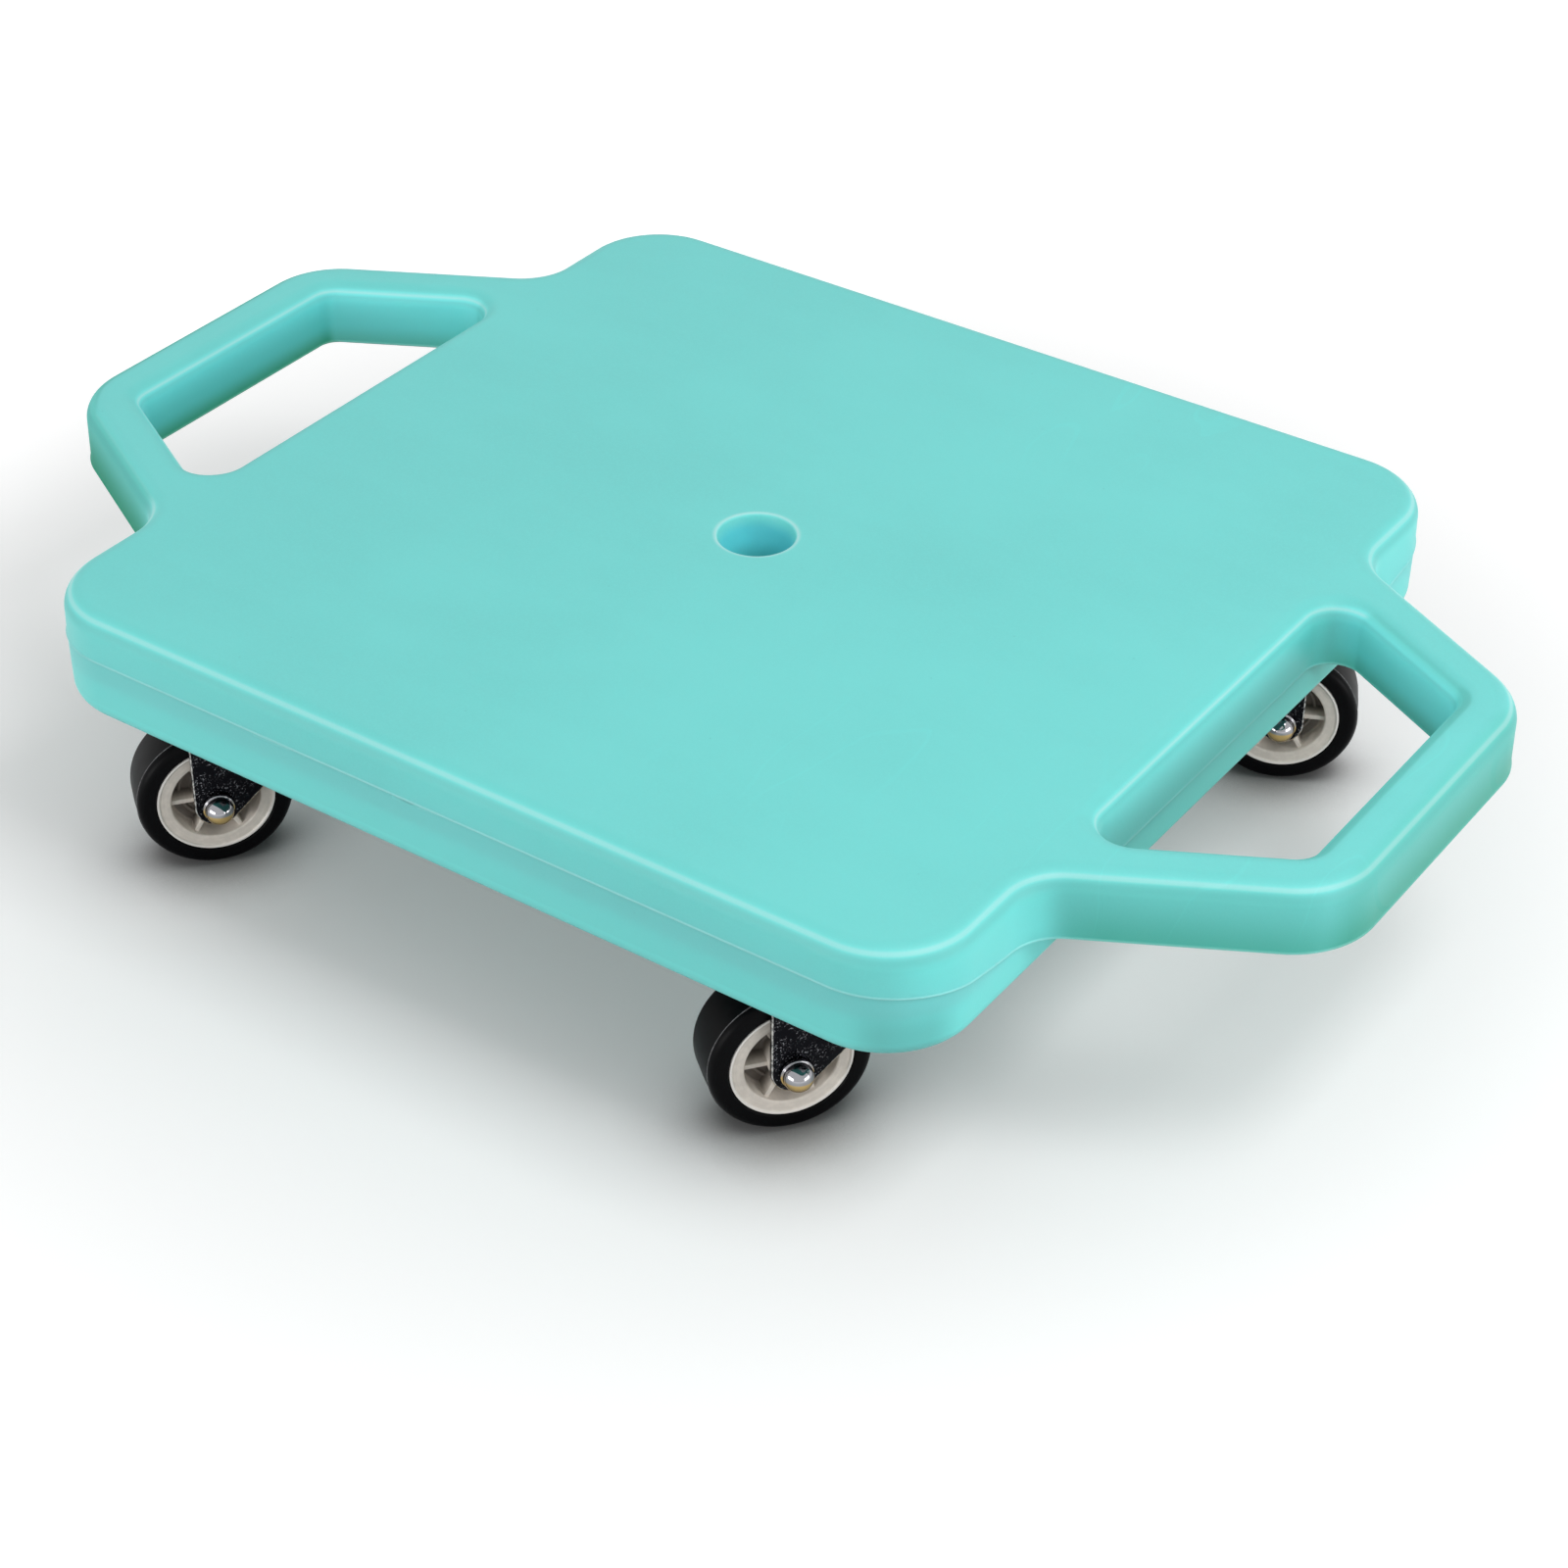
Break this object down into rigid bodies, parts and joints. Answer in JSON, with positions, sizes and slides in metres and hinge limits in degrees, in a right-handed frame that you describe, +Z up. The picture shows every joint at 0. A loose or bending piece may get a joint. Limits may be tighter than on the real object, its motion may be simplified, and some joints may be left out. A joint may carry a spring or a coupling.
{
  "type": "scooter board",
  "caption": "Square moulded plastic scooter board with a hand loop at each end and a rope hole, carried on swivel casters with free-rolling wheels.",
  "frame": {"origin": "on the floor under the middle of the deck, which is the bottom centre of the whole part", "axes": "+Z up; X runs from hand loop to hand loop; the front edge of the deck faces -Y"},
  "size_m": [0.456, 0.302, 0.096],
  "materials": {
    "deck": "satin",
    "zinc": "zinc plated",
    "steel": "plain",
    "chrome": "polished",
    "fork": "black chrome",
    "hub": "fine matt",
    "tyre": "smooth"
  },
  "bodies": {
    "board": {"deck": "deck", "mount_plate_front_right": "zinc", "plate_screw_front_right_1": "steel", "plate_screw_front_right_2": "steel", "plate_screw_front_right_3": "steel", "plate_screw_front_right_4": "steel", "kingpin_front_right": "steel", "mount_plate_front_left": "zinc", "plate_screw_front_left_1": "steel", "plate_screw_front_left_2": "steel", "plate_screw_front_left_3": "steel", "plate_screw_front_left_4": "steel", "kingpin_front_left": "steel", "mount_plate_back_right": "zinc", "plate_screw_back_right_1": "steel", "plate_screw_back_right_2": "steel", "plate_screw_back_right_3": "steel", "plate_screw_back_right_4": "steel", "kingpin_back_right": "steel", "mount_plate_back_left": "zinc", "plate_screw_back_left_1": "steel", "plate_screw_back_left_2": "steel", "plate_screw_back_left_3": "steel", "plate_screw_back_left_4": "steel", "kingpin_back_left": "steel"},
    "swivel_front_right": {"ball_ring_front_right": "steel", "swivel_cap_front_right": "zinc", "fork_front_right": "fork", "axle_sleeve_front_right": "steel", "axle_bolt_front_right": "zinc", "dome_nut_front_right": "chrome"},
    "wheel_front_right": {"hub_front_right": "hub", "tyre_front_right": "tyre"},
    "swivel_front_left": {"ball_ring_front_left": "steel", "swivel_cap_front_left": "zinc", "fork_front_left": "fork", "axle_sleeve_front_left": "steel", "axle_bolt_front_left": "zinc", "dome_nut_front_left": "chrome"},
    "wheel_front_left": {"hub_front_left": "hub", "tyre_front_left": "tyre"},
    "swivel_back_right": {"ball_ring_back_right": "steel", "swivel_cap_back_right": "zinc", "fork_back_right": "fork", "axle_sleeve_back_right": "steel", "axle_bolt_back_right": "zinc", "dome_nut_back_right": "chrome"},
    "wheel_back_right": {"hub_back_right": "hub", "tyre_back_right": "tyre"},
    "swivel_back_left": {"ball_ring_back_left": "steel", "swivel_cap_back_left": "zinc", "fork_back_left": "fork", "axle_sleeve_back_left": "steel", "axle_bolt_back_left": "zinc", "dome_nut_back_left": "chrome"},
    "wheel_back_left": {"hub_back_left": "hub", "tyre_back_left": "tyre"}
  },
  "joints": [
    {"name": "swivel_front_right_turn", "type": "hinge", "parent": "board", "child": "swivel_front_right", "pos_m": [0.106, -0.101, 0.061], "axis": [0, 0, 1], "continuous": true},
    {"name": "wheel_front_right_roll", "type": "hinge", "parent": "swivel_front_right", "child": "wheel_front_right", "pos_m": [0.09245, -0.11834, 0.0238], "axis": [0.788, -0.6157, 0], "continuous": true},
    {"name": "swivel_front_left_turn", "type": "hinge", "parent": "board", "child": "swivel_front_left", "pos_m": [-0.106, -0.101, 0.061], "axis": [0, 0, 1], "continuous": true},
    {"name": "wheel_front_left_roll", "type": "hinge", "parent": "swivel_front_left", "child": "wheel_front_left", "pos_m": [-0.11954, -0.11834, 0.0238], "axis": [0.788, -0.6157, 0], "continuous": true},
    {"name": "swivel_back_right_turn", "type": "hinge", "parent": "board", "child": "swivel_back_right", "pos_m": [0.106, 0.101, 0.061], "axis": [0, 0, 1], "continuous": true},
    {"name": "wheel_back_right_roll", "type": "hinge", "parent": "swivel_back_right", "child": "wheel_back_right", "pos_m": [0.12577, 0.11064, 0.0238], "axis": [0.4384, -0.8988, 0], "continuous": true},
    {"name": "swivel_back_left_turn", "type": "hinge", "parent": "board", "child": "swivel_back_left", "pos_m": [-0.106, 0.101, 0.061], "axis": [0, 0, 1], "continuous": true},
    {"name": "wheel_back_left_roll", "type": "hinge", "parent": "swivel_back_left", "child": "wheel_back_left", "pos_m": [-0.08623, 0.11064, 0.0238], "axis": [0.4384, -0.8988, 0], "continuous": true}
  ]
}
